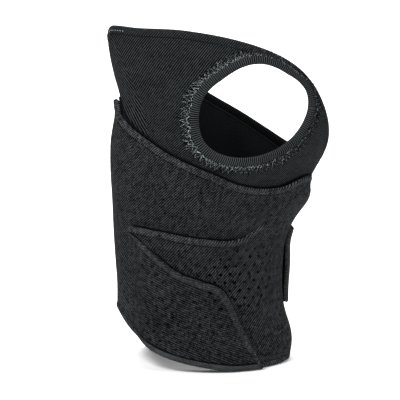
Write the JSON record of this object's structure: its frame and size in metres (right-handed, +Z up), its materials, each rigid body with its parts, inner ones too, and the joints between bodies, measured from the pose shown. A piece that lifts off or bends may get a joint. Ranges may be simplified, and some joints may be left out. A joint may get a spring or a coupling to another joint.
{
  "type": "elbow support",
  "caption": "Open elbow support: a foam-rubber sleeve with an oval elbow opening and a slanted mouth, inside a wrap that closes with a front flap and a back strap.",
  "frame": {"origin": "centre of the bounding box's bottom face, on the plane the hem stands on", "axes": "+Z up the arm from the hem to the slanted mouth; -Y the front, with the elbow opening; +X to the viewer's right from the front"},
  "size_m": [0.1423, 0.0902, 0.2199],
  "materials": {
    "sleeve_knit": "fine ribbed knit over foam rubber",
    "wrap_knit": "heathered knit over perforated foam rubber",
    "edge_tape": "folded knit tape",
    "rib_tape": "ribbed elastic tape",
    "stitching": "matt thread",
    "hook_tape": "rough hook tape",
    "loop_tape": "brushed loop"
  },
  "bodies": {
    "sleeve": {"sleeve_front_panel": "sleeve_knit", "sleeve_back_panel": "sleeve_knit", "front_rim_tape": "edge_tape", "back_rim_tape": "edge_tape", "elbow_opening_binding": "rib_tape", "elbow_opening_stitching": "stitching", "left_side_seam": "edge_tape", "right_side_seam": "edge_tape", "sleeve_front_hem_tape": "edge_tape", "sleeve_back_hem_tape": "edge_tape", "wrap_upper_panel": "wrap_knit", "wrap_lower_panel": "wrap_knit", "wrap_top_tape": "edge_tape", "lower_panel_tape": "edge_tape", "wrap_left_hem_tape": "edge_tape", "wrap_right_hem_tape": "edge_tape", "back_left_edge_tape": "edge_tape", "back_right_edge_tape": "edge_tape", "loop_patch": "loop_tape", "closing_strap_base": "wrap_knit"},
    "front_flap": {"front_flap": "wrap_knit", "flap_edge_tape": "edge_tape", "flap_hem_tape": "edge_tape", "flap_hook_patch": "hook_tape"},
    "closing_strap": {"closing_strap": "wrap_knit", "strap_end_tape": "hook_tape", "strap_hook_patch": "hook_tape"}
  },
  "joints": [
    {"name": "front_flap_hinge", "type": "hinge", "parent": "sleeve", "child": "front_flap", "pos_m": [-0.05527, -0.02274, 0.054], "axis": [0.0303, 0.005, -0.9995], "range_deg": [0, 90]},
    {"name": "closing_strap_hinge", "type": "hinge", "parent": "sleeve", "child": "closing_strap", "pos_m": [-0.03677, 0.04013, 0.0625], "axis": [0, 0, 1], "range_deg": [0, 90]}
  ]
}
